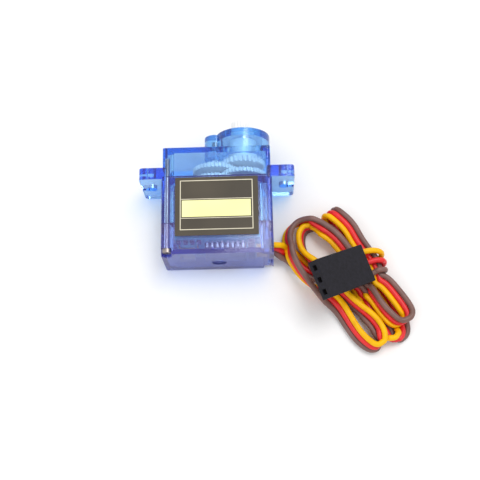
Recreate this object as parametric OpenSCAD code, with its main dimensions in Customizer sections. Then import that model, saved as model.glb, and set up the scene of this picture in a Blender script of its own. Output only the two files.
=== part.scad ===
// Micro hobby servo lying on its back: translucent case, motor, gear train, feedback
// potentiometer, control board and three-wire lead in a hank.
// Each module is written upright: x along the case, -y out of the label, z up the output shaft.
// lay() then lays the servo on its back, so the label faces +Z and the shaft points along +Y.

/* [Case] */
// Length of the case over its end walls
case_length = 22.8; // [22.6:0.1:23.0]
// Depth of the case from its back to the label face
case_depth = 12.2; // [12.2:0.1:12.6]
// Height of the bottom face below the ears
below_ears = 16.3; // [16.3:0.1:16.7]
// Height of the case top above the ears' underside
above_ears = 6.9; // [6.8:0.1:7.2]
// Height of the dome's top above the ears' underside
dome_height = 11.2; // [11.2:0.1:11.6]
// Height of the bottom cover
bottom_cover_height = 6.7; // [6.4:0.1:7.0]
// Thickness of the case walls
wall = 0.9; // [0.8:0.05:0.9]

/* [Ears] */
// Length over both ears
ear_span = 32.2; // [32.0:0.1:32.8]
// Thickness of the ears
ear_thickness = 2.5; // [2.3:0.1:2.7]
// Distance between the ears' screw holes
ear_hole_spacing = 28; // [27.6:0.1:28.4]
// Diameter of the ears' screw holes
ear_hole_diameter = 2.1; // [1.9:0.1:2.3]
// Width of the slot from each screw hole to the ear's outer edge
ear_slot_width = 1.1; // [0.9:0.1:1.2]

/* [Output] */
// Height of the splined shaft's end above the ears' underside
shaft_height = 14.7; // [14.5:0.1:15.6]
// Outside diameter of the spline
spline_diameter = 4.7; // [4.6:0.1:4.8]
// Number of spline teeth
spline_teeth = 21; // [20:1:25]
// Diameter of the horn screw's hole
horn_screw_diameter = 1.6; // [1.4:0.1:1.8]
// Radial running gap in the bearings
running_gap = 0.05; // [0.03:0.01:0.06]

/* [Gears] */
// Module of the motor, first, second and third gears
fine_module = 0.25; // [0.25]
// Module of the last pair of gears
coarse_module = 0.3; // [0.3]
// Teeth on the motor pinion
motor_teeth = 9; // [9]
// Teeth on each large compound gear, an odd number
wheel_teeth = 37; // [37]
// Teeth on each small compound pinion
small_teeth = 10; // [10]
// Teeth on the output gear, an odd number
output_teeth = 29; // [29]

/* [Lead] */
// Diameter of one wire over its insulation
wire_diameter = 1.2; // [1.0:0.1:1.2]
// Length of the connector housing
connector_length = 13.6; // [13.2:0.1:14.0]
// Width of the connector housing
connector_width = 8.0; // [7.7:0.1:8.0]
// Thickness of the connector housing
connector_thickness = 2.6; // [2.5:0.1:2.8]

/* [Hidden] */
$fn = 48;

// Outer limits of the case, upright
right = 6;
left = right - case_length;
front = -case_depth;
bottom = -below_ears;
mid_y = front / 2;
mid_x = (left + right) / 2;
seam_low = bottom + bottom_cover_height;
seam_high = 0.5;
cover_inset = 0.2;
corner_r = 0.6;
bottom_plate = 1.2;
roof = 1.0;
eps = 0.01;

// Gear deck between the motor bay and the gears
deck_low = -0.9;
deck_high = 0.3;

// Shaft places along x; all shafts stand at mid_y
output_x = 0;
pin_x = output_x - fine_module * (wheel_teeth + small_teeth) / 2;
motor_x = pin_x - fine_module * (wheel_teeth + motor_teeth) / 2;

// Case corner fixings: two long screws and two moulded dowels on the other diagonal
fixing_inset = 1.2;
post_r = 1.35;
screw_corners = [[left + fixing_inset, front + fixing_inset], [right - fixing_inset, -fixing_inset]];
dowel_corners = [[right - fixing_inset, front + fixing_inset], [left + fixing_inset, -fixing_inset]];
screw_r = 0.5;
screw_head_r = 0.95;
screw_head_h = 0.8;
screw_seat = bottom + 1.4;
screw_tip = 4.5;
dowel_r = 0.45;
dowel_h = 1.2;

// Dome and pin boss on the top cover
dome_r = 5.8;
dome_wall = 1.2;
dome_cavity_r = 4.4;
boss_r = 2.3;
boss_cavity_r = 1.0;
boss_cavity_top = 8.6;
pin_r = 0.5;
pin_foot = deck_low + 0.3;
pin_top = 10.0;

// Cable exit in the right end wall
exit_z = -13.4;
exit_y = -5.1;
exit_window = [4.2, 2.0];

// Gear levels, each from its foot to its top
first_level = [0.55, 1.55];
second_level = [1.8, 2.7];
third_level = [2.95, 3.85];
output_level = [4.25, 5.35];
first_pinion_top = 2.8;
second_pinion_top = 3.95;
third_pinion_top = 5.45;
motor_pinion_top = 1.7;
backlash = 0.03;
pressure_angle = 20;
hub_r = 3.0;
hub_top = dome_height - dome_wall - 0.2;
journal_r = 2.45;
pot_shaft_r = 0.6;
pot_shaft_foot = -5.3;
pot_shaft_top = 7.2;
pot_flat = 0.35;
horn_screw_depth = 6;

// Motor
motor_r = 4.7;
motor_half_width = 4.0;
motor_low = -10.4;
motor_high = -1.0;
can_wall = 0.3;
motor_shaft_r = 0.4;
bush_r = 1.1;
cap_low = -11.2;
terminal_offset = 1.9;
terminal_size = [0.3, 1.2];
brush_offset = 1.12;

// Potentiometer
pot_r = 4.3;
pot_low = -5.6;
pot_high = -1.0;
pot_wall = 0.6;
pot_pitch = 2.54;
pot_pin_y = -4.6;

// Circuit board
board_x = [-14.1, 3.3];
board_y = [-10.9, -1.3];
board_low = -12.8;
board_thickness = 0.8;
leg_count = 8;
leg_pitch = 1.05;
chip_half_depth = 1.9;
leg_top = board_low - 1.3;
chip_x = -3.9;

// Lead: route points of the red wire from the case to the hank, in the laid-down frame, and at
// each point the offset from the red wire to the brown one; the orange one is opposite
lead_route = [
    [6.0, -13.4, 5.1], [7.2, -13.5, 4.7], [8.2, -13.7, 3.5], [9.0, -13.8, 2.1], [10.1, -14.6, 1.2],
    [11.4, -15.6, 0.8]
];
lead_brown_offset = [
    [0, -0.35, -1.15], [0, -0.56, -1.06], [-0.1, -0.92, -0.77], [-0.3, -1.09, -0.41], [-0.5, -1.08, -0.17],
    [-0.6, -1.04, 0]
];
tube_sides = 8;

// Hank: one rounded block around the folded turns
hank_centre = [22.3, -19.7];
hank_angle = -54;
hank_length = 31;
hank_width = 13;
hank_low = 0.1;
hank_high = 3.5;

// Connector housing lying across the hank, socket end raised
connector_rear = [24.7, -17.4, 5.4];
connector_turn = 27.4;
connector_tilt = 34.4;
connector_roll = 12.1;
contact_pitch = 2.54;

// ---- helpers ----

// Lays an upright shape on its back: upright +z becomes +Y and upright -y becomes +Z
module lay() {
    rotate([-90, 0, 0]) children();
}

// Upright block from a low corner to a high corner
module block(low, high) {
    translate(low) cube(high - low);
}

// Upright prism with four round vertical corners
module rounded_prism(low, high, r) {
    size = high - low;
    translate(low) linear_extrude(size[2]) {
        translate([r, 0]) square([size[0] - 2 * r, size[1]]);
        translate([0, r]) square([size[0], size[1] - 2 * r]);
        for (x = [r, size[0] - r], y = [r, size[1] - r]) translate([x, y]) circle(r);
    }
}

// Upright cylinder at a place, from one height to another
module rod(place, low, high, r) {
    translate([place[0], place[1], low]) cylinder(h = high - low, r = r);
}

// Upright tube at a place
module ring(place, low, high, outer_r, inner_r) {
    difference() {
        rod(place, low, high, outer_r);
        rod(place, low - eps, high + eps, inner_r);
    }
}

function place(x) = [x, mid_y];

// Involute gear outline: half the tooth's angle at radius r, tooth centred on angle 0
function involute(a) = tan(a) * 180 / PI - a;
function half_tooth(r, pitch_r, base_r, teeth) =
    90 / teeth - backlash / pitch_r * 90 / PI + involute(pressure_angle)
    - (r > base_r ? involute(acos(base_r / r)) : 0);
function gear_points(teeth, m) =
    let (
        pitch_r = m * teeth / 2,
        base_r = pitch_r * cos(pressure_angle),
        root_r = pitch_r - 1.2 * m,
        tip_r = pitch_r + 0.9 * m,
        radii = [root_r, max(base_r, root_r + 0.02), pitch_r, tip_r]
    )
    [
        for (t = [0 : teeth - 1])
            each concat(
                [for (r = radii)
                    let (a = t * 360 / teeth - half_tooth(r, pitch_r, base_r, teeth))
                    [r * cos(a), r * sin(a)]],
                [for (i = [len(radii) - 1 : -1 : 0])
                    let (r = radii[i], a = t * 360 / teeth + half_tooth(r, pitch_r, base_r, teeth))
                    [r * cos(a), r * sin(a)]]
            )
    ];

// Toothed disc on a shaft place, between two heights, turned by phase
module toothed(place, level, teeth, m, phase = 0) {
    translate([place[0], place[1], level[0]])
        rotate([0, 0, phase])
            linear_extrude(level[1] - level[0]) polygon(gear_points(teeth, m));
}

// Compound gear: a large wheel with a small pinion on top, bored for its pin
module compound_gear(place, level, top, bore_r, phase = 0) {
    difference() {
        union() {
            toothed(place, level, wheel_teeth, fine_module);
            toothed(place, [level[1] - eps, top], small_teeth, fine_module, phase);
        }
        rod(place, level[0] - eps, top + eps, bore_r);
    }
}

// Sub-millimetre chip body on the board's underside
module chip_part(x, y, size) {
    block([x, y, board_low - size[2]], [x + size[0], y + size[1], board_low]);
}

// Tube swept along points, as one closed polyhedron
function unit(v) = v / norm(v);
function tube_direction(p, i) =
    unit(p[min(i + 1, len(p) - 1)] - p[max(i - 1, 0)]);
function tube_ring(p, i, r) =
    let (
        t = i == 0 ? [1, 0, 0] : tube_direction(p, i),
        u = unit(cross(t, [0, 0, 1])),
        v = cross(u, t)
    )
    [for (s = [0 : tube_sides - 1])
        p[i] + r * (cos(s * 360 / tube_sides) * u + sin(s * 360 / tube_sides) * v)];
module tube(p, r) {
    n = len(p);
    points = [for (i = [0 : n - 1]) each tube_ring(p, i, r)];
    sides = [
        for (i = [0 : n - 2], s = [0 : tube_sides - 1])
            let (a = i * tube_sides, b = a + tube_sides, s2 = (s + 1) % tube_sides)
            each [[a + s, b + s, b + s2], [a + s, b + s2, a + s2]]
    ];
    foot = [[for (s = [0 : tube_sides - 1]) s]];
    end = [[for (s = [tube_sides - 1 : -1 : 0]) (n - 1) * tube_sides + s]];
    polyhedron(points, concat(sides, foot, end));
}

// Corner posts for the screws and dowels, kept inside the case's outline
module corner_posts(corners, low, high, inset = 0) {
    intersection() {
        for (c = corners) rod(c, low, high, post_r);
        rounded_prism([left + inset, front + inset, low - 1],
            [right - inset, -inset, high + 1], corner_r);
    }
}

// ---- case ----

module bottom_cover() {
    color([0.32, 0.5, 1.0, 0.6]) lay() difference() {
        union() {
            difference() {
                rounded_prism([left, front, bottom], [right, 0, seam_low], corner_r);
                block([left + wall, front + wall, bottom + bottom_plate],
                    [right - wall, -wall, seam_low + eps]);
            }
            corner_posts(concat(screw_corners, dowel_corners), bottom + 0.1, seam_low);
        }
        for (c = screw_corners) {
            rod(c, bottom - eps, seam_low + eps, screw_r + 0.1);
            rod(c, bottom - eps, screw_seat, screw_head_r + 0.1);
        }
        // the two screw corners are cut open to the outside
        block([left - eps, front - eps, bottom - eps],
            [left + fixing_inset, front + fixing_inset, screw_seat]);
        block([left - eps, front - eps, bottom - eps],
            [left + 2 * fixing_inset - 0.2, front + 0.6, screw_seat]);
        block([right - fixing_inset, -fixing_inset, bottom - eps],
            [right + eps, eps, screw_seat]);
        block([right - 2 * fixing_inset + 0.2, -0.6, bottom - eps],
            [right + eps, eps, screw_seat]);
        for (c = dowel_corners) rod(c, seam_low - dowel_h, seam_low + eps, dowel_r);
        // shallow round recess in the bottom face
        rod([-5.3, -5.2], bottom - eps, bottom + 0.4, 1.5);
        // relief notch below the cable exit
        block([right - 1.2, exit_y - 1.6, bottom - eps], [right + eps, exit_y + 1.6, bottom + 0.8]);
        // cable exit window
        block([right - wall - 0.5, exit_y - exit_window[0] / 2, exit_z - exit_window[1] / 2],
            [right + eps, exit_y + exit_window[0] / 2, exit_z + exit_window[1] / 2]);
    }
}

module ear_outline() {
    low = mid_x - ear_span / 2;
    rounded_prism([low, front + 0.2, 0], [low + ear_span, -0.2, ear_thickness], 0.9);
}

module middle_case() {
    color([0.36, 0.6, 1.0, 0.6]) lay() difference() {
        union() {
            difference() {
                union() {
                    rounded_prism([left, front, seam_low], [right, 0, seam_high], corner_r);
                    ear_outline();
                }
                block([left + wall, front + wall, seam_low - eps],
                    [right - wall, -wall, deck_low]);
                block([left + wall, front - eps, deck_high],
                    [right - wall, eps, ear_thickness + eps]);
                block([left + wall, front + wall, deck_high],
                    [right - wall, -wall, ear_thickness + eps]);
            }
            // side walls up to the seam, around the gear bay
            difference() {
                block([left + wall - eps, front, deck_low], [right - wall + eps, 0, seam_high]);
                block([left + wall - 2 * eps, front + wall, deck_high],
                    [right - wall + 2 * eps, -wall, seam_high + eps]);
                block([left + wall - 2 * eps, front + wall, deck_low - eps],
                    [right - wall + 2 * eps, -wall, deck_low + eps]);
            }
            corner_posts(concat(screw_corners, dowel_corners), seam_low, deck_high);
            for (c = dowel_corners) rod(c, seam_low - dowel_h + 0.1, seam_low + eps, dowel_r - 0.05);
        }
        for (c = screw_corners) rod(c, seam_low - eps, ear_thickness + eps, screw_r + 0.1);
        // deck holes for the motor boss, the potentiometer shaft and the gear pin
        rod(place(motor_x), deck_low - eps, deck_high + eps, 1.6);
        rod(place(output_x), deck_low - eps, deck_high + eps, 1.3);
        rod(place(pin_x), pin_foot, deck_high + eps, pin_r);
        // ear screw holes with a slot to the outer edge
        for (side = [-1, 1]) {
            hole_x = mid_x + side * ear_hole_spacing / 2;
            rod([hole_x, mid_y], -eps, ear_thickness + eps, ear_hole_diameter / 2);
            translate([hole_x + (side > 0 ? 0 : -5), mid_y - ear_slot_width / 2, -eps])
                cube([5, ear_slot_width, ear_thickness + 2 * eps]);
        }
    }
}

module top_cover() {
    low_x = left + cover_inset;
    high_x = right - cover_inset;
    low_y = front + cover_inset;
    skirt_gap = 0.05;
    color([0.4, 0.68, 1.0, 0.6]) lay() difference() {
        union() {
            difference() {
                union() {
                    rounded_prism([low_x, low_y, ear_thickness],
                        [high_x, -cover_inset, above_ears], corner_r);
                    block([left + wall + skirt_gap, low_y, seam_high],
                        [right - wall - skirt_gap, -cover_inset, ear_thickness + eps]);
                    rod(place(output_x), above_ears - eps, dome_height, dome_r);
                    rod(place(pin_x), above_ears - eps, dome_height, boss_r);
                }
                block([left + wall + skirt_gap - eps, low_y + wall, seam_high - eps],
                    [right - wall - skirt_gap + eps, -cover_inset - wall, ear_thickness + eps]);
                block([low_x + wall, low_y + wall, ear_thickness - eps],
                    [high_x - wall, -cover_inset - wall, above_ears - roof]);
                rod(place(output_x), above_ears - roof - eps, dome_height - dome_wall, dome_cavity_r);
                rod(place(pin_x), above_ears - roof - eps, boss_cavity_top, boss_cavity_r);
            }
            corner_posts(screw_corners, seam_high, above_ears - roof + eps, cover_inset);
        }
        // output bearing, gear pin socket and screw holes
        rod(place(output_x), dome_height - dome_wall - eps, dome_height + eps,
            journal_r + running_gap);
        rod(place(pin_x), boss_cavity_top - eps, pin_top, pin_r);
        for (c = screw_corners) rod(c, seam_high - eps, screw_tip + 0.2, screw_r);
        // keeps the posts clear of the middle case's end walls
        block([left - eps, front, seam_high - eps], [left + wall + skirt_gap, 0, ear_thickness]);
        block([right - wall - skirt_gap, front, seam_high - eps], [right + eps, 0, ear_thickness]);
    }
}

module case_screws() {
    color("silver") lay() for (c = screw_corners) difference() {
        union() {
            rod(c, screw_seat - screw_head_h, screw_seat, screw_head_r);
            rod(c, screw_seat - eps, screw_tip, screw_r);
        }
        // cross recess
        for (turn = [0, 90])
            translate([c[0], c[1], screw_seat - screw_head_h])
                rotate([0, 0, turn]) cube([1.1, 0.28, 0.7], center = true);
    }
}

module front_label() {
    color([0.15, 0.14, 0.13]) lay()
        block([-13.9, front - 0.1, -12.5], [3.1, front, 0.1]);
}

// ---- motor ----

module motor_section(low, high, r, half_width) {
    intersection() {
        rod(place(motor_x), low, high, r);
        block([motor_x - half_width, front, low - 1], [motor_x + half_width, 0, high + 1]);
    }
}

module motor_can() {
    color("silver") lay() difference() {
        union() {
            motor_section(motor_low, motor_high, motor_r, motor_half_width);
            rod(place(motor_x), motor_high - eps, motor_high + 0.6, 1.5);
        }
        motor_section(motor_low - eps, motor_high - 0.4, motor_r - can_wall,
            motor_half_width - can_wall);
        rod(place(motor_x), motor_high - 1, motor_high + 1, bush_r);
    }
}

module motor_end_cap() {
    color("ivory") lay() difference() {
        motor_section(cap_low, motor_low, motor_r, motor_half_width);
        rod(place(motor_x), cap_low + 0.2, motor_low + eps, motor_shaft_r + 0.02);
        terminal_slots((cap_low + motor_low) / 2, 2);
    }
}

module motor_magnets() {
    color([0.25, 0.25, 0.27]) lay() intersection() {
        ring(place(motor_x), -8.8, -2.2, motor_r - can_wall, 3.0);
        union() {
            block([motor_x - 2.9, front, -9], [motor_x + 2.9, mid_y - 2, -2]);
            block([motor_x - 2.9, mid_y + 2, -9], [motor_x + 2.9, 0, -2]);
        }
    }
}

module motor_bush() {
    color("goldenrod") lay()
        ring(place(motor_x), motor_high - 1, motor_high + 0.6, bush_r, motor_shaft_r + 0.02);
}

// Slots for the two motor terminals, centred on a height
module terminal_slots(z, height) {
    for (side = [-1, 1]) translate([motor_x + side * terminal_offset, mid_y, z])
        cube([terminal_size[0], terminal_size[1], height], center = true);
}

// Terminal tabs through the end cap to the board, each with a brush inside the can
module motor_terminals() {
    foot = motor_low + 0.05;
    half = terminal_size / 2;
    color("gold") lay() for (side = [-1, 1]) {
        x = motor_x + side * terminal_offset;
        brush_x = motor_x + side * brush_offset;
        block([x - half[0], mid_y - half[1], board_low - 0.5],
            [x + half[0], mid_y + half[1], foot + 0.25]);
        block([min(brush_x - 0.1, x - half[0]), mid_y - 0.5, foot],
            [max(brush_x + 0.1, x + half[0]), mid_y + 0.5, foot + 0.25]);
        block([brush_x - 0.1, mid_y - 0.5, foot], [brush_x + 0.1, mid_y + 0.5, -9.2]);
    }
}

module motor_shaft() {
    color("gainsboro") lay() rod(place(motor_x), cap_low + 0.3, motor_pinion_top, motor_shaft_r);
}

module armature_core() {
    color("dimgray") lay() difference() {
        rod(place(motor_x), -8.0, -3.0, 2.7);
        rod(place(motor_x), -8.1, -2.9, motor_shaft_r);
        for (turn = [0, 120, 240]) translate([motor_x, mid_y, -5.5]) rotate([0, 0, turn + 60])
            translate([1.2, -0.35, -3]) cube([2, 0.7, 6]);
    }
}

module armature_winding() {
    color("peru") lay() for (level = [[-3.0, -2.4], [-8.6, -8.0]])
        ring(place(motor_x), level[0], level[1], 2.1, motor_shaft_r);
}

module commutator() {
    color("orange") lay() ring(place(motor_x), -10.1, -8.7, 1.0, motor_shaft_r);
}

module motor_pinion() {
    color("gold") lay() difference() {
        toothed(place(motor_x), [first_level[0], motor_pinion_top], motor_teeth, fine_module);
        rod(place(motor_x), 0, motor_pinion_top + eps, motor_shaft_r);
    }
}

// ---- gear train ----

module gear_pin() {
    color("gainsboro") lay() rod(place(pin_x), pin_foot, pin_top, pin_r);
}

module first_gear() {
    color("white") lay()
        compound_gear(place(pin_x), first_level, first_pinion_top, pin_r + running_gap);
}

module second_gear() {
    color("white") lay()
        compound_gear(place(output_x), second_level, second_pinion_top,
            pot_shaft_r + running_gap, 180 / small_teeth);
}

module third_gear() {
    color("white") lay() difference() {
        union() {
            toothed(place(pin_x), third_level, wheel_teeth, fine_module);
            toothed(place(pin_x), [third_level[1] - eps, third_pinion_top],
                small_teeth, coarse_module);
        }
        rod(place(pin_x), third_level[0] - eps, third_pinion_top + eps, pin_r + running_gap);
    }
}

module spline_ring() {
    root_r = spline_diameter / 2 - 0.25;
    tip_r = spline_diameter / 2;
    step = 360 / spline_teeth;
    polygon([
        for (t = [0 : spline_teeth - 1])
            each [
                [root_r * cos(t * step), root_r * sin(t * step)],
                [tip_r * cos((t + 0.35) * step), tip_r * sin((t + 0.35) * step)],
                [tip_r * cos((t + 0.65) * step), tip_r * sin((t + 0.65) * step)]
            ]
    ]);
}

module output_gear() {
    color("white") lay() difference() {
        union() {
            toothed(place(output_x), output_level, output_teeth, coarse_module);
            rod(place(output_x), output_level[1] - eps, hub_top, hub_r);
            rod(place(output_x), hub_top - eps, dome_height + 0.2, journal_r);
            translate([output_x, mid_y, dome_height + 0.2 - eps])
                linear_extrude(shaft_height - dome_height - 0.2 + eps) spline_ring();
        }
        rod(place(output_x), shaft_height - horn_screw_depth, shaft_height + eps,
            horn_screw_diameter / 2);
        // D-shaped socket on the potentiometer shaft
        pot_d(output_level[0] - eps, pot_shaft_top);
    }
}

// ---- potentiometer ----

// Upper, flatted length of the potentiometer shaft
module pot_d(low, high) {
    difference() {
        rod(place(output_x), low, high, pot_shaft_r);
        block([pot_flat, mid_y - 1, low - eps], [1, mid_y + 1, high + eps]);
    }
}

module pot_shaft() {
    color("silver") lay() {
        rod(place(output_x), pot_shaft_foot, output_level[0] - 0.1, pot_shaft_r);
        pot_d(output_level[0] - 0.1 - eps, pot_shaft_top);
    }
}

module pot_wiper() {
    color("gold") lay() difference() {
        union() {
            rod(place(output_x), -3.4, -3.0, 2.6);
            block([2.0, mid_y - 0.4, -4.42], [2.3, mid_y + 0.4, -3.4 + eps]);
        }
        rod(place(output_x), -3.5, -2.9, pot_shaft_r);
    }
}

module pot_body() {
    color("dimgray") lay() difference() {
        rod(place(output_x), pot_low, pot_high, pot_r);
        rod(place(output_x), pot_low + pot_wall, pot_high - pot_wall, pot_r - pot_wall);
        rod(place(output_x), pot_high - pot_wall - eps, pot_high + eps,
            pot_shaft_r + running_gap);
        // foot bearing
        rod(place(output_x), pot_low + 0.2, pot_low + pot_wall + eps,
            pot_shaft_r + running_gap);
    }
}

module pot_track() {
    color([0.1, 0.1, 0.1]) lay()
        ring(place(output_x), pot_low + pot_wall, -4.45, 3.4, 1.2);
}

module pot_terminals() {
    color("silver") lay() for (i = [-1 : 1])
        block([i * pot_pitch - 0.3, pot_pin_y - 0.15, -7.2],
            [i * pot_pitch + 0.3, pot_pin_y + 0.15, pot_low]);
}

module pot_wires() {
    color("tomato") lay() for (i = [-1 : 1])
        rod([i * pot_pitch, pot_pin_y], board_low + board_thickness, -7.2, 0.35);
}

// ---- circuit board ----

module circuit_board() {
    color("seagreen") lay() difference() {
        block([board_x[0], board_y[0], board_low],
            [board_x[1], board_y[1], board_low + board_thickness]);
        terminal_slots(board_low, 4);
    }
}

module control_chip() {
    chip = [leg_count * leg_pitch, 2 * chip_half_depth, 1.9];
    color([0.1, 0.1, 0.1]) lay()
        block([chip_x - chip[0] / 2, mid_y - chip[1] / 2, board_low - 0.1 - chip[2]],
            [chip_x + chip[0] / 2, mid_y + chip[1] / 2, board_low - 0.1]);
}

module chip_legs() {
    leg = [0.4, 0.9, 0.2];
    color("silver") lay() for (i = [0 : leg_count - 1], side = [-1, 1]) {
        x = chip_x + (i - (leg_count - 1) / 2) * leg_pitch;
        edge = mid_y + side * chip_half_depth;
        outer = edge + side * leg[1];
        block([x - leg[0] / 2, min(edge, outer), leg_top],
            [x + leg[0] / 2, max(edge, outer), leg_top + leg[2]]);
        block([x - leg[0] / 2, min(outer, outer - side * leg[2]), leg_top],
            [x + leg[0] / 2, max(outer, outer - side * leg[2]), board_low]);
    }
}

module chip_resistors() {
    color([0.2, 0.2, 0.22]) lay() for (i = [0 : 3])
        chip_part(-13.8 + i * 1.4, -9.9, [0.8, 1.6, 0.5]);
}

module board_capacitor() {
    color("khaki") lay() chip_part(-13.6, -4.6, [3.2, 1.8, 1.5]);
}

module drive_transistors() {
    color([0.12, 0.12, 0.12]) lay() for (y = [-9.8, -4.2])
        chip_part(0.8, y, [1.4, 2.6, 0.9]);
}

// ---- lead ----

module lead_grommet() {
    color([0.1, 0.1, 0.1]) lay() {
        block([right - wall, exit_y - exit_window[0] / 2, exit_z - exit_window[1] / 2],
            [right, exit_y + exit_window[0] / 2, exit_z + exit_window[1] / 2]);
        block([right - wall - 0.4, exit_y - exit_window[0] / 2, exit_z - exit_window[1] / 2],
            [right - wall + eps, exit_y + exit_window[0] / 2, exit_z + exit_window[1] / 2]);
    }
}

module lead_tails() {
    inner_end = right - wall - 0.4;
    color("chocolate") lay() for (i = [-1 : 1])
        translate([2.4, exit_y + i * wire_diameter, exit_z])
            rotate([0, 90, 0]) cylinder(h = inner_end - 2.4, r = wire_diameter / 2 - 0.05);
}

module lead_wire(side) {
    tube([for (i = [0 : len(lead_route) - 1]) lead_route[i] + side * lead_brown_offset[i]],
        wire_diameter / 2);
}

module lead_brown() {
    color("saddlebrown") lead_wire(1);
}

module lead_red() {
    color("red") lead_wire(0);
}

module lead_orange() {
    color("orange") lead_wire(-1);
}

module wire_hank() {
    half = (hank_length - hank_width) / 2;
    color("darkorange") translate([hank_centre[0], hank_centre[1], hank_low])
        rotate([0, 0, hank_angle]) linear_extrude(hank_high - hank_low) {
            square([2 * half, hank_width], center = true);
            for (side = [-1, 1]) translate([side * half, 0]) circle(hank_width / 2);
        }
}

// ---- connector ----

// Puts a shape whose rear face centre is the origin, and which runs along -x, in its place
module connector_place() {
    translate(connector_rear) rotate([connector_roll, connector_tilt, connector_turn]) children();
}

module connector_housing() {
    cavity = [1.7, 1.5];
    color([0.13, 0.13, 0.15]) connector_place() difference() {
        translate([-connector_length, -connector_width / 2, -connector_thickness / 2])
            cube([connector_length, connector_width, connector_thickness]);
        for (i = [-1 : 1]) {
            translate([-connector_length - eps, i * contact_pitch - cavity[0] / 2, -cavity[1] / 2])
                cube([connector_length + 2 * eps, cavity[0], cavity[1]]);
            // latch window over each contact, on the underside
            translate([-connector_length * 0.45, i * contact_pitch - 0.6, -connector_thickness / 2 - eps])
                cube([2.2, 1.2, connector_thickness / 2]);
        }
    }
}

module connector_contacts() {
    shell = [8.5, 1.3, 1.1];
    color("gold") connector_place() for (i = [-1 : 1]) difference() {
        translate([-connector_length + 1.2, i * contact_pitch - shell[1] / 2, -shell[2] / 2])
            cube(shell);
        translate([-connector_length + 1.1, i * contact_pitch - 0.4, -0.3])
            cube([6, 0.8, 0.6]);
    }
}

bottom_cover();
middle_case();
top_cover();
case_screws();
front_label();
motor_can();
motor_end_cap();
motor_magnets();
motor_bush();
motor_terminals();
motor_shaft();
armature_core();
armature_winding();
commutator();
motor_pinion();
gear_pin();
first_gear();
second_gear();
third_gear();
output_gear();
pot_body();
pot_track();
pot_shaft();
pot_wiper();
pot_terminals();
pot_wires();
circuit_board();
control_chip();
chip_legs();
chip_resistors();
board_capacitor();
drive_transistors();
lead_grommet();
lead_tails();
lead_brown();
lead_red();
lead_orange();
wire_hank();
connector_housing();
connector_contacts();
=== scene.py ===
"""Micro hobby servo on its back, its three-wire lead folded in a hank beside it."""

import math

import bmesh
import bpy
import numpy as np
from mathutils import Matrix, Vector


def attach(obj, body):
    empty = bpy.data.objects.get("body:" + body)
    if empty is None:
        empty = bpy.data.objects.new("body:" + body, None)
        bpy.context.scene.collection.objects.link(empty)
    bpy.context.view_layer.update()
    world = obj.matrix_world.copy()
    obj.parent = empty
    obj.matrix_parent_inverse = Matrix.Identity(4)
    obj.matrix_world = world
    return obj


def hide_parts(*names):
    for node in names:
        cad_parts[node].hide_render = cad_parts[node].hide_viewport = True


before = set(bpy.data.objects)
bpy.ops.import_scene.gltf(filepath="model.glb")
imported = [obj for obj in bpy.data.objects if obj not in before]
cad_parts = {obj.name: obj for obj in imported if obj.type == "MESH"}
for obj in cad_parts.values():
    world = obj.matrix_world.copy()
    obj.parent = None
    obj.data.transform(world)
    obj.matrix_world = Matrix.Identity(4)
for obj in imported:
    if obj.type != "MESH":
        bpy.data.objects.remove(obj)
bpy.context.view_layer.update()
MM = 0.001

# ---------------------------------------------------------------- camera

CAMERA_PLACE = Vector((3.41, -65.17, 178.51)) * MM
CAMERA_BACK = Vector((0.0240, -0.2958, 0.9549))
CAMERA_RIGHT = Vector((0.9994, -0.0170, -0.0304))
CAMERA_ANGLE = math.radians(30.97)


def make_camera():
    data = bpy.data.cameras.new("camera")
    data.sensor_fit = "HORIZONTAL"
    data.angle = CAMERA_ANGLE
    data.clip_start = 0.005
    data.clip_end = 20
    camera = bpy.data.objects.new("camera", data)
    back = CAMERA_BACK.normalized()
    right = (CAMERA_RIGHT - CAMERA_RIGHT.dot(back) * back).normalized()
    up = back.cross(right)
    turn = Matrix((right, up, back)).transposed().to_4x4()
    camera.matrix_world = Matrix.Translation(CAMERA_PLACE) @ turn
    bpy.context.scene.collection.objects.link(camera)
    bpy.context.scene.camera = camera


make_camera()

# ---------------------------------------------------------------- materials

ROUGHNESS_VARY = 0.06
BUMP_HEIGHT = 0.2 * MM


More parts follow.
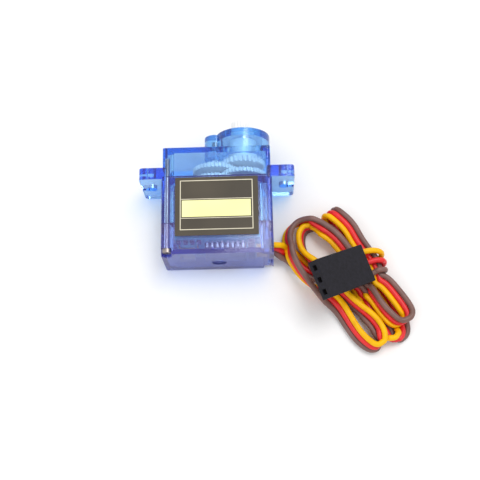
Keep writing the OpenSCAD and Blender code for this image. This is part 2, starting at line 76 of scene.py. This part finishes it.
def material(name, colour, roughness, vary=0.06, scale=900.0, bump=0.02, bump_scale=2500.0,
             metallic=0.0, detail=4.0, dark=None, **sockets):
    """Principled material: a broad noise varies its colour and roughness, a fine one its surface.

    The colour runs from dark, or from the colour less twice vary, up to the colour plus vary.
    Any other shader socket is given by its name, with underscores for spaces."""
    mat = bpy.data.materials.new(name)
    mat.use_nodes = True
    nodes, links = mat.node_tree.nodes, mat.node_tree.links
    shader = nodes["Principled BSDF"]
    place = nodes.new("ShaderNodeTexCoord")
    broad = nodes.new("ShaderNodeTexNoise")
    broad.inputs["Scale"].default_value = scale
    broad.inputs["Detail"].default_value = detail
    links.new(place.outputs["Object"], broad.inputs["Vector"])
    ramp = nodes.new("ShaderNodeValToRGB")
    low = dark or [c * (1 - vary * 2) for c in colour]
    high = [min(1.0, c * (1 + vary)) for c in colour]
    ramp.color_ramp.elements[0].position = 0.3
    ramp.color_ramp.elements[1].position = 0.7
    ramp.color_ramp.elements[0].color = (*low, 1)
    ramp.color_ramp.elements[1].color = (*high, 1)
    links.new(broad.outputs["Fac"], ramp.inputs["Fac"])
    links.new(ramp.outputs["Color"], shader.inputs["Base Color"])
    rough = nodes.new("ShaderNodeMapRange")
    rough.inputs["To Min"].default_value = max(0.02, roughness - ROUGHNESS_VARY)
    rough.inputs["To Max"].default_value = min(1.0, roughness + ROUGHNESS_VARY)
    links.new(broad.outputs["Fac"], rough.inputs["Value"])
    links.new(rough.outputs["Result"], shader.inputs["Roughness"])
    fine = nodes.new("ShaderNodeTexNoise")
    fine.inputs["Scale"].default_value = bump_scale
    fine.inputs["Detail"].default_value = 3.0
    links.new(place.outputs["Object"], fine.inputs["Vector"])
    bumps = nodes.new("ShaderNodeBump")
    bumps.inputs["Strength"].default_value = bump
    bumps.inputs["Distance"].default_value = BUMP_HEIGHT
    links.new(fine.outputs["Fac"], bumps.inputs["Height"])
    links.new(bumps.outputs["Normal"], shader.inputs["Normal"])
    shader.inputs["Metallic"].default_value = metallic
    for socket, value in sockets.items():
        shader.inputs[socket.replace("_", " ")].default_value = value
    return mat


def clear_plastic(name, tint, absorbs, density, haze, haze_share, rough):
    """Dyed clear plastic: bends light, and takes it up along its way through the wall, so that
    a wall seen edge-on is deep in colour, with a faint haze of its own. Shadow rays pass straight
    through, so that light reaches what is inside."""
    mat = bpy.data.materials.new(name)
    mat.use_nodes = True
    nodes, links = mat.node_tree.nodes, mat.node_tree.links
    nodes.remove(nodes["Principled BSDF"])
    out = nodes["Material Output"]
    place = nodes.new("ShaderNodeTexCoord")
    noise = nodes.new("ShaderNodeTexNoise")
    noise.inputs["Scale"].default_value = 260.0
    noise.inputs["Detail"].default_value = 3.0
    links.new(place.outputs["Object"], noise.inputs["Vector"])
    flow = nodes.new("ShaderNodeBump")
    flow.inputs["Strength"].default_value = 0.06
    flow.inputs["Distance"].default_value = 0.0003
    links.new(noise.outputs["Fac"], flow.inputs["Height"])
    tone = nodes.new("ShaderNodeMix")
    tone.data_type = "RGBA"
    tone.inputs["A"].default_value = (*[c * 0.94 for c in tint], 1)
    tone.inputs["B"].default_value = (*tint, 1)
    links.new(noise.outputs["Fac"], tone.inputs["Factor"])
    glass = nodes.new("ShaderNodeBsdfGlass")
    glass.inputs["IOR"].default_value = 1.49
    glass.inputs["Roughness"].default_value = rough
    links.new(tone.outputs["Result"], glass.inputs["Color"])
    links.new(flow.outputs["Normal"], glass.inputs["Normal"])
    milk = nodes.new("ShaderNodeBsdfDiffuse")
    milk.inputs["Color"].default_value = (*haze, 1)
    body = nodes.new("ShaderNodeMixShader")
    body.inputs["Fac"].default_value = haze_share
    links.new(glass.outputs["BSDF"], body.inputs[1])
    links.new(milk.outputs["BSDF"], body.inputs[2])
    clear = nodes.new("ShaderNodeBsdfTransparent")
    links.new(tone.outputs["Result"], clear.inputs["Color"])
    path = nodes.new("ShaderNodeLightPath")
    top = nodes.new("ShaderNodeMixShader")
    links.new(path.outputs["Is Shadow Ray"], top.inputs["Fac"])
    links.new(body.outputs["Shader"], top.inputs[1])
    links.new(clear.outputs["BSDF"], top.inputs[2])
    links.new(top.outputs["Shader"], out.inputs["Surface"])
    dye = nodes.new("ShaderNodeVolumeAbsorption")
    dye.inputs["Color"].default_value = (*absorbs, 1)
    dye.inputs["Density"].default_value = density
    links.new(dye.outputs["Volume"], out.inputs["Volume"])
    return mat


BROWN = material("wire_brown", (0.205, 0.100, 0.084), 0.45, vary=0.10, scale=500)
RED = material("wire_red", (0.80, 0.016, 0.020), 0.42, vary=0.08, scale=500)
ORANGE = material("wire_orange", (1.0, 0.50, 0.0), 0.42, vary=0.08, scale=500,
                  Specular_IOR_Level=0.22)
BLACK_NYLON = material("connector_black", (0.012, 0.011, 0.017), 0.62, vary=0.2, scale=1500,
                       bump=0.15, bump_scale=6000, Specular_IOR_Level=0.25)
GOLD = material("gold_plate", (0.85, 0.6, 0.25), 0.25, metallic=1.0)

# ---------------------------------------------------------------- lead

WIRE = 1.2
CONTACT_PITCH = 2.54
# The connector: the middle of its rear end, its size, and how it is turned, tilted up and rolled
CONNECTOR_REAR = Vector((24.7, -17.4, 5.4))
CONNECTOR_SIZE = Vector((13.6, 8.0, 2.6))
CONNECTOR_TURN = math.radians(27.4)
CONNECTOR_TILT = math.radians(34.4)
CONNECTOR_ROLL = math.radians(12.1)
# Route of the red wire from the case to the connector: x, y, z in millimetres, then the
# direction from the orange wire to the brown one as azimuth and elevation in degrees.
RIBBON = [
    # out of the case and over to the hank
    (6, -13.4, 5.1, -90, -73), (7.2, -13.5, 4.7, -90, -62), (8.2, -13.7, 3.5, -95, -40),
    (9, -13.8, 2.1, -105, -20), (10.1, -14.6, 1.2, -115, -8), (11.4, -15.6, 0.8, -120, 0),
    (13.2, -17.2, 0.7, -122, 0), (16, -18.6, 0.7, -119, 0), (19.4, -19.6, 0.9, -108, 20),
    (21.9, -20.5, 1.8, -40, 84),
    # down the middle to the lower right tip
    (23.9, -21.8, 1.5, 25, 40), (25.1, -24, 1.1, 28, 10), (25.8, -26.6, 1.3, 25, 0),
    (27.2, -29.3, 1.5, 27, 8), (28.7, -31.9, 1.7, 30, -35), (30.1, -33.3, 1.9, 33, -72),
    (31.5, -32.9, 1.9, 33, -70), (32.3, -31.3, 1.5, 33, -35), (31.9, -28.1, 0.9, 33, -8),
    # up the right side along the floor
    (30.2, -24.5, 0.7, 32, 0), (27.9, -20.9, 0.7, 31, 0), (25.9, -17.8, 0.7, 31, 0),
    (23.9, -14.4, 0.7, 31, 0), (21.4, -10.9, 0.7, 31, 0), (19.4, -8.1, 0.7, 32, 0),
    (18.2, -6.1, 0.8, 33, 0),
    # folded over at the top and back down above it
    (17.8, -5.4, 1.4, 33, 0), (17.7, -5.0, 2.7, 33, 0), (18.5, -5.1, 4, 33, 0),
    (20.1, -6.7, 4.4, 34, 0), (22.2, -8.9, 4.1, 34, 0), (23.6, -11.9, 3.7, 34, 0),
    (26, -15.6, 3.4, 33, 0), (28.1, -19.2, 3.3, 34, 0), (30.4, -22.7, 3.2, 36, 3),
    (32.5, -25.8, 3.1, 38, 12), (33.5, -27.8, 3.1, 38, 32), (33.1, -29.6, 3.1, 38, 62),
    (31.5, -30, 3, 38, 62), (29.7, -28.7, 3, 38, 54), (28.2, -26.9, 3.1, 37, 64),
    (27, -24.9, 3.1, 36, 72), (25.9, -22.3, 2.7, 35, 62), (24.6, -18.6, 2.1, 36, 24),
    (23.2, -16.4, 2, 37, 4), (21.8, -14.2, 1.9, 37, -4), (20.4, -12.1, 1.8, 35, -8),
    (18.7, -9.9, 1.8, 36, -20),
    # inner loop on the left
    (16.8, -8, 1.9, 40, -55), (14.2, -7.4, 1.9, -70, -72), (12.8, -7.9, 1.9, -50, -62),
    (11.8, -9.4, 1.9, 0, -62), (11.8, -11.5, 1.9, 5, -68), (12.2, -13.4, 2, 10, -72),
    (13.5, -15.4, 2.2, -100, -84), (15.6, -17.7, 2.2, -135, -58), (18.4, -20.5, 2.1, -135, -58),
    (20.8, -23.4, 2.1, -135, -64), (23.2, -25.8, 2.1, -135, -65), (25.2, -27.3, 2.1, -137, -65),
    (26.8, -29.2, 2.2, -142, -66), (28.1, -31.4, 2.3, -148, -66),
    # lower left tip and back up the left side
    (27.9, -34, 2.3, -150, -64), (26, -34.5, 2.2, -146, -56), (23.3, -32.2, 1.8, -145, -48),
    (21.3, -29, 1.7, -145, -46), (19.8, -26.2, 1.7, -145, -38), (18.3, -24.2, 1.7, -145, -12),
    (16.5, -23, 2.1, -146, 30), (14.3, -21.7, 2.9, -148, 72), (12.4, -19.7, 3.5, 32, 82),
    (10.8, -17.5, 3.9, 25, 74), (9.5, -14.9, 4.3, 8, 66), (9, -12.4, 3.8, -2, 62),
    # outer loop on the left
    (8.9, -10.3, 3.1, -12, 62), (9.6, -8.3, 2.5, -35, 68), (11.4, -6.9, 2.4, -80, 82),
    (13.6, -6.9, 3.1, 60, 84), (15.6, -8, 3.6, 44, 66), (18.1, -10.2, 4.1, 42, 50),
    (19.8, -12.2, 4.1, 40, 44), (21, -13.9, 3.8, 38, 46),
    # under the right side, folded back up into the connector
    (22.2, -15.4, 3.2, 0, 70), (23.6, -16.5, 2.4, -52, 45), (25, -17.1, 1.9, -62, 15),
    (26.2, -17.4, 1.6, -64, 0), (27.4, -17.4, 1.45, -64, 0), (28.5, -17.3, 1.7, -63, 0),
    (29.3, -17, 2.4, -62, 0), (29.6, -16.75, 3.3, -62, -2), (29.3, -16.55, 4.25, -62, -4),
    (28.5, -16.45, 4.85, -64, -5), (27.3, -16.4, 5.1, -66, -7), (26.4, -16.6, 4.95, -68, -9),
    (25.55, -16.95, 4.93, -69.5, -10), (24.8, -17.35, 5.33, -69.5, -10),
]
# Over its last stretch the ribbon's wires spread from side by side to the contacts' pitch
FAN_LENGTH = 12.0
FAN_POWER = 1.3
# The distance between samples along the lead
STEP = 0.55


def unit(v):
    return v / np.linalg.norm(v, axis=-1, keepdims=True)


def through(points, step):
    """A smooth line through points: samples about a step apart, and each one's place in points."""
    p = np.vstack([2 * points[0] - points[1], points, 2 * points[-1] - points[-2]])
    line, place = [], []
    for i in range(1, len(p) - 2):
        a, b, c, d = p[i - 1:i + 3]
        count = max(2, round(np.linalg.norm(c[:3] - b[:3]) / step))
        for t in np.arange(count) / count:
            line.append(0.5 * (2 * b + (c - a) * t + (2 * a - 5 * b + 4 * c - d) * t ** 2
                               + (3 * b - a - 3 * c + d) * t ** 3))
            place.append(i - 1 + t)
    line.append(points[-1])
    place.append(len(points) - 1)
    return np.array(line), np.array(place)


def ribbon_wires():
    """Centrelines of the orange, red and brown wires before settling, in millimetres, and how
    far apart neighbouring wires are at each sample."""
    rows = np.array(RIBBON, dtype=float)
    az, el = np.radians(rows[:, 3]), np.radians(rows[:, 4])
    across = np.stack([np.cos(el) * np.cos(az), np.cos(el) * np.sin(az), np.sin(el)], 1)
    line, place = through(np.hstack([rows[:, :3], across]), STEP)
    centre, across = line[:, :3], unit(line[:, 3:])
    along = unit(np.gradient(centre, axis=0))
    across[1:-1] = unit(across - (across * along).sum(1, keepdims=True) * along)[1:-1]
    left = np.cumsum(np.linalg.norm(np.diff(centre, axis=0), axis=1)[::-1])[::-1]
    left = np.append(left, 0)
    fan = np.clip(1 - left / FAN_LENGTH, 0, 1)
    spread = WIRE + (CONTACT_PITCH - WIRE) * fan ** FAN_POWER
    return np.stack([centre - across * spread[:, None], centre,
                     centre + across * spread[:, None]]), spread


def connector_matrix():
    return (Matrix.Translation(CONNECTOR_REAR) @ Matrix.Rotation(CONNECTOR_TURN, 4, "Z")
            @ Matrix.Rotation(CONNECTOR_TILT, 4, "Y") @ Matrix.Rotation(CONNECTOR_ROLL, 4, "X"))


# Settling runs in rounds, and each takes away these shares of what is wrong with the wires
ROUNDS = 240
TO_ROUTE = 0.03
TO_SMOOTH = 0.25
TO_STRAIGHT = 0.1
TO_LENGTH = 0.25
TO_WIDTH = 0.4
TO_CLEAR = 0.35
# A bend is measured over this many samples on each side, and is too sharp below this cosine
BEND_SPAN = 4
BEND_COSINE = 0.45
# Samples closer than NEAR are kept clear of each other, unless they lie within STRETCH samples
# along the lead. They are looked for again after so many rounds.
NEAR = 2.2
STRETCH = 7
NEAR_ROUNDS = 12
# Two samples closer in height than this are first moved so far apart in height
LEVEL = 0.05
CLEARANCE = WIRE * 1.01
LARGEST_PUSH = 0.25
LARGEST_DROP = 0.3
# The number of samples at each wire's end that may be in the connector
ENTRY = 14
# Samples that stay in place at the case and at the connector
HELD_FIRST = 2
HELD_LAST = 3
LOWEST = WIRE / 2 + 0.02


def keep_ribbon(p, route, rest, spread, hold):
    """Draws the wires p towards their route, smooth, unkinked, at length and side by side."""
    p += TO_ROUTE * (route - p) * hold
    smooth = (p[:, :-2] + p[:, 2:]) / 2 - p[:, 1:-1]
    p[:, 1:-1] += TO_SMOOTH * smooth * hold[:, 1:-1]
    inner = slice(BEND_SPAN, -BEND_SPAN)
    before = p[:, inner] - p[:, :-2 * BEND_SPAN]
    after = p[:, 2 * BEND_SPAN:] - p[:, inner]
    reach = np.linalg.norm(before, axis=2) * np.linalg.norm(after, axis=2)
    sharp = (before * after).sum(2) < BEND_COSINE * reach
    p[:, inner] += TO_STRAIGHT * (after - before) * sharp[..., None] * hold[:, inner]
    step = np.diff(p, axis=1)
    size = np.linalg.norm(step, axis=2, keepdims=True)
    pull = TO_LENGTH * step * (1 - rest[..., None] / size)
    p[:, :-1] += pull * hold[:, :-1]
    p[:, 1:] -= pull * hold[:, 1:]
    for a, b, times in ((0, 1, 1), (1, 2, 1), (0, 2, 2)):
        gap = p[b] - p[a]
        size = np.linalg.norm(gap, axis=1, keepdims=True)
        push = TO_WIDTH * gap * (1 - times * spread[:, None] / size) * hold[0]
        p[a] += push
        p[b] -= push


def near_pairs(q, order):
    """The samples, two and two, that are near each other but not along one stretch of lead."""
    near = np.linalg.norm(q[:, None] - q[None], axis=2) < NEAR
    elsewhere = np.abs(order[:, None] - order[None]) > STRETCH
    return np.nonzero(np.triu(near & elsewhere))


def move_apart(q, pairs, heights, hold):
    """Moves paired samples out of each other, the one whose route is higher going up."""
    i, j = pairs
    gap = q[j] - q[i]
    level = np.abs(gap[:, 2]) < LEVEL
    gap[:, 2] += np.where(level, np.sign(heights[j] - heights[i]) * LEVEL, 0)
    size = np.maximum(np.linalg.norm(gap, axis=1), 1e-6)
    push = np.clip(CLEARANCE - size, 0, None)[:, None] * TO_CLEAR * gap / size[:, None]
    move = np.zeros_like(q)
    np.add.at(move, i, -push)
    np.add.at(move, j, push)
    return q + np.clip(move, -LARGEST_PUSH, LARGEST_PUSH) * hold


def move_below(q, place, back, free):
    """Moves free samples that are in the connector out through its underside.

    place is the connector's matrix, and back its inverse."""
    half = np.array(CONNECTOR_SIZE) / 2 + WIRE / 2
    middle = np.array((-CONNECTOR_SIZE.x / 2, 0, 0))
    local = q @ back[:3, :3].T + back[:3, 3] - middle
    inside = (np.abs(local) < half).all(1) & free
    down = np.where(inside, local[:, 2] + half[2], 0)
    local[:, 2] -= np.clip(down, 0, LARGEST_DROP)
    return np.where(inside[:, None], (local + middle) @ place[:3, :3].T + place[:3, 3], q)


def settle(wires, spread):
    """Moves the wires apart where they lie in each other, in the floor or in the connector."""
    sides, count = wires.shape[:2]
    p = wires.copy()
    rest = np.linalg.norm(np.diff(wires, axis=1), axis=2)
    rest[:] = rest.mean(0)
    hold = np.ones((1, count, 1))
    hold[:, :HELD_FIRST] = hold[:, -HELD_LAST:] = 0
    order = np.tile(np.arange(count), sides)
    held = np.tile(hold[0], (sides, 1))
    heights = wires.reshape(-1, 3)[:, 2]
    free = order < count - ENTRY
    place = np.array(connector_matrix())
    back = np.array(connector_matrix().inverted())
    for turn in range(ROUNDS):
        keep_ribbon(p, wires, rest, spread, hold)
        q = p.reshape(-1, 3)
        if turn % NEAR_ROUNDS == 0:
            pairs = near_pairs(q, order)
        q = move_apart(q, pairs, heights, held)
        q = move_below(q, place, back, free)
        q[:, 2] = np.maximum(q[:, 2], LOWEST)
        p = q.reshape(sides, count, 3)
    return p


def wire_curve(name, points, mat):
    """A round wire along points in millimetres, as one open curve."""
    data = bpy.data.curves.new(name, "CURVE")
    data.dimensions = "3D"
    data.bevel_depth = WIRE / 2 * MM
    data.bevel_resolution = 5
    data.use_fill_caps = True
    spline = data.splines.new("POLY")
    spline.points.add(len(points) - 1)
    for point, place in zip(spline.points, points * MM):
        point.co = (*place, 1)
    spline.use_smooth = True
    data.materials.append(mat)
    obj = bpy.data.objects.new(name, data)
    bpy.context.scene.collection.objects.link(obj)
    return obj


def halved(points):
    """The same smooth line, with its samples half as far apart."""
    steps = np.linalg.norm(np.diff(points, axis=0), axis=1)
    return through(points, steps.mean() / 2)[0]


wires = settle(*ribbon_wires())
for colour, points, mat in zip(("orange", "red", "brown"), wires, (ORANGE, RED, BROWN)):
    lead = wire_curve(f"wire_{colour}", halved(points), mat)
    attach(lead, "case")
    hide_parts(f"lead_{colour}", "wire_hank")

# ---------------------------------------------------------------- connector

# Each contact's opening for a pin in front and channel behind, as width and height, and the
# window for its latch, as length and width
PIN_OPENING = (1.1, 1.1)
CHANNEL = (1.7, 1.5)
LATCH_WINDOW = (2.4, 1.2)
# Distances from the connector's rear, as shares of its length: where the opening stops, and how
# far the channel and the window reach
OPENING_STOP = 0.5
CHANNEL_REACH = 0.6
WINDOW_REACH = 0.45
EDGE_ROUNDING = 0.18
EDGE_ANGLE = math.radians(35)
SMOOTH_ANGLE = math.radians(40)
# How far a cutter stands out of what it cuts
PROUD = 1


def mesh_object(name, bm, mat):
    mesh = bpy.data.meshes.new(name)
    bm.normal_update()
    bm.to_mesh(mesh)
    bm.free()
    mesh.materials.append(mat)
    obj = bpy.data.objects.new(name, mesh)
    bpy.context.scene.collection.objects.link(obj)
    return obj


def add_box(bm, low, high, matrix=None):
    """Adds to bm a box from corner to corner, in millimetres, placed by matrix."""
    low, high = Vector(low), Vector(high)
    for v in bmesh.ops.create_cube(bm, size=1)["verts"]:
        v.co = Vector([(low[k] if v.co[k] < 0 else high[k]) for k in range(3)])
        if matrix:
            v.co = matrix @ v.co
        v.co = v.co * MM


def cut(obj, bm):
    """Takes the closed shapes in bm out of obj."""
    mesh = bpy.data.meshes.new("cutter")
    bm.to_mesh(mesh)
    bm.free()
    tool = bpy.data.objects.new("cutter", mesh)
    bpy.context.scene.collection.objects.link(tool)
    mod = obj.modifiers.new("cut", "BOOLEAN")
    mod.operation = "DIFFERENCE"
    mod.solver = "EXACT"
    mod.object = tool
    with bpy.context.temp_override(object=obj, active_object=obj, selected_objects=[obj]):
        bpy.ops.object.modifier_apply(modifier=mod.name)
    bpy.data.objects.remove(tool)


def connector_cutter(place):
    """The three openings right through the connector, and their latch windows underneath."""
    length, _, thick = CONNECTOR_SIZE
    bm = bmesh.new()
    for i in (-1, 0, 1):
        y = i * CONTACT_PITCH
        w, h = PIN_OPENING[0] / 2, PIN_OPENING[1] / 2
        add_box(bm, (-length - PROUD, y - w, -h), (-length * OPENING_STOP, y + w, h), place)
        w, h = CHANNEL[0] / 2, CHANNEL[1] / 2
        add_box(bm, (-length * CHANNEL_REACH, y - w, -h), (PROUD, y + w, h), place)
        x, w = -length * WINDOW_REACH, LATCH_WINDOW[1] / 2
        add_box(bm, (x, y - w, -thick), (x + LATCH_WINDOW[0], y + w, 0), place)
    return bm


def make_connector():
    """The connector's body, with softened edges."""
    place = connector_matrix()
    length, width, thick = CONNECTOR_SIZE
    bm = bmesh.new()
    add_box(bm, (-length, -width / 2, -thick / 2), (0, width / 2, thick / 2), place)
    body = mesh_object("connector_body", bm, BLACK_NYLON)
    cut(body, connector_cutter(place))
    edges = body.modifiers.new("edges", "BEVEL")
    edges.width = EDGE_ROUNDING * MM
    edges.segments = 3
    edges.limit_method = "ANGLE"
    edges.angle_limit = EDGE_ANGLE
    body.data.shade_smooth()
    body.data.set_sharp_from_angle(angle=SMOOTH_ANGLE)
    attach(body, "case")
    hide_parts("connector_housing")
    return body


connector = make_connector()

# ---------------------------------------------------------------- the CAD nodes

BLUE = clear_plastic("case_blue", (0.92, 0.965, 1.0), (0.0, 0.62, 0.98), 270.0,
                     (0.34, 0.24, 1.0), 0.09, 0.09)
TOP_BLUE = clear_plastic("case_blue_top", (0.91, 0.965, 1.0), (0.0, 0.66, 0.99), 280.0,
                         (0.26, 0.34, 1.0), 0.09, 0.09)
BOTTOM_BLUE = clear_plastic("case_blue_bottom", (0.93, 0.94, 1.0), (0.03, 0.54, 0.98), 270.0,
                            (0.44, 0.34, 1.0), 0.12, 0.09)
NYLON = material("gear_nylon", (0.94, 0.94, 0.92), 0.4, vary=0.03)
STEEL = material("steel", (0.62, 0.63, 0.65), 0.28, metallic=1.0)
SCREW = material("screw_steel", (0.42, 0.37, 0.34), 0.42, metallic=1.0)
DARK = material("chip_black", (0.03, 0.03, 0.035), 0.45)
BOARD = material("board_green", (0.05, 0.50, 0.52), 0.35)
BRASS = material("brass", (0.75, 0.5, 0.2), 0.3, metallic=1.0)
LABEL = material("label_dark", (0.075, 0.062, 0.044), 0.5, vary=0.10, scale=110, detail=1.0,
                 Specular_IOR_Level=0.3)
LOOKS = {
    "bottom_cover": BOTTOM_BLUE, "middle_case": BLUE, "top_cover": TOP_BLUE,
    "case_screws": SCREW,
    "front_label": LABEL, "motor_can": STEEL, "motor_end_cap": NYLON, "motor_magnets": DARK,
    "motor_bush": BRASS, "motor_terminals": BRASS, "motor_shaft": STEEL, "armature_core": STEEL,
    "armature_winding": BRASS, "commutator": BRASS, "motor_pinion": BRASS, "gear_pin": STEEL,
    "first_gear": NYLON, "second_gear": NYLON, "third_gear": NYLON, "output_gear": NYLON,
    "pot_body": DARK, "pot_track": DARK, "pot_shaft": STEEL, "pot_wiper": BRASS,
    "pot_terminals": STEEL, "pot_wires": RED, "circuit_board": BOARD, "control_chip": DARK,
    "chip_legs": STEEL, "chip_resistors": DARK, "board_capacitor": BRASS,
    "drive_transistors": DARK, "lead_grommet": DARK, "lead_tails": ORANGE,
    "connector_contacts": GOLD,
}
for node, look in LOOKS.items():
    slots = bpy.data.objects[node].data.materials
    slots.clear()
    slots.append(look)

# ---------------------------------------------------------------- label print

LABEL_TOP = 12.3
# The border's and the panel's corners, in millimetres
BORDER = ((-12.9, -11.3), (2.0, -0.6))
BORDER_WIDTH = 0.16
PANEL = ((-12.5, -8.5), (1.55, -4.95))
# The cross lines' lower edges, and how far inside the border's corners they end
CROSS_LINES = (-4.75, -8.85)
CROSS_WIDTH = 0.12
CROSS_INSET = 0.2
# Heights over the label of the border and of the lines and panel, which start under its face
BORDER_RISE = 0.015
PRINT_RISE = 0.012
PRINT_DEPTH = 0.02
CREAM = material("print_cream", (0.80, 0.74, 0.56), 0.5, vary=0.05, scale=700)
YELLOW = material("print_yellow", (1.0, 0.99, 0.62), 0.5, vary=0.03, scale=60, detail=1.0,
                  dark=(0.97, 0.95, 0.36))


def add_border(bm):
    """Adds the printed outline, with mitred corners."""
    low, high = BORDER
    rings = []
    for inset in (0, BORDER_WIDTH):
        rings.append([bm.verts.new(Vector((x, y, LABEL_TOP + BORDER_RISE)) * MM) for x, y in (
            (low[0] + inset, low[1] + inset), (high[0] - inset, low[1] + inset),
            (high[0] - inset, high[1] - inset), (low[0] + inset, high[1] - inset))])
    for k in range(4):
        m = (k + 1) % 4
        bm.faces.new((rings[0][k], rings[0][m], rings[1][m], rings[1][k]))


def add_patch(bm, low, high):
    """Adds a thin printed rectangle between two corners on the label."""
    add_box(bm, (*low, LABEL_TOP - PRINT_DEPTH), (*high, LABEL_TOP + PRINT_RISE))


def make_print():
    """A cream border with two cross lines, and a pale yellow panel between them."""
    bm = bmesh.new()
    add_border(bm)
    left, right = BORDER[0][0] + CROSS_INSET, BORDER[1][0] - CROSS_INSET
    for y in CROSS_LINES:
        add_patch(bm, (left, y), (right, y + CROSS_WIDTH))
    lines = mesh_object("label_lines", bm, CREAM)
    bm = bmesh.new()
    add_patch(bm, *PANEL)
    panel = mesh_object("label_panel", bm, YELLOW)
    for piece in (lines, panel):
        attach(piece, "case")


make_print()

# ---------------------------------------------------------------- stage

FLOOR_HALF_SIDE = 1.5
SKY_STRENGTH = 0.78
LIGHTS_AIM = Vector((0.005, -0.01, 0))
# Each square light's name, place, side and power
LIGHTS = (
    ("key", (0.19, 0.20, 0.70), 0.34, 2.2),
    ("fill", (-0.5, -0.3, 0.7), 0.8, 1.1),
)
FLOOR_WHITE = material("floor_white", (0.93, 0.93, 0.93), 0.6, vary=0.003, bump=0.0)


def make_light(name, place, side, power):
    data = bpy.data.lights.new(name, "AREA")
    data.energy = power
    data.size = side
    light = bpy.data.objects.new(name, data)
    light.location = place
    light.rotation_euler = (LIGHTS_AIM - Vector(place)).to_track_quat("-Z", "Y").to_euler()
    bpy.context.scene.collection.objects.link(light)


def make_stage():
    """A white floor under an even white sky, a small key light and a broad fill."""
    bm = bmesh.new()
    bmesh.ops.create_grid(bm, x_segments=1, y_segments=1, size=FLOOR_HALF_SIDE)
    mesh_object("floor", bm, FLOOR_WHITE)
    world = bpy.data.worlds.new("studio")
    bpy.context.scene.world = world
    world.use_nodes = True
    sky = world.node_tree.nodes["Background"]
    sky.inputs["Color"].default_value = (1, 1, 1, 1)
    sky.inputs["Strength"].default_value = SKY_STRENGTH
    for light in LIGHTS:
        make_light(*light)
    bpy.context.scene.view_settings.view_transform = "Standard"


make_stage()
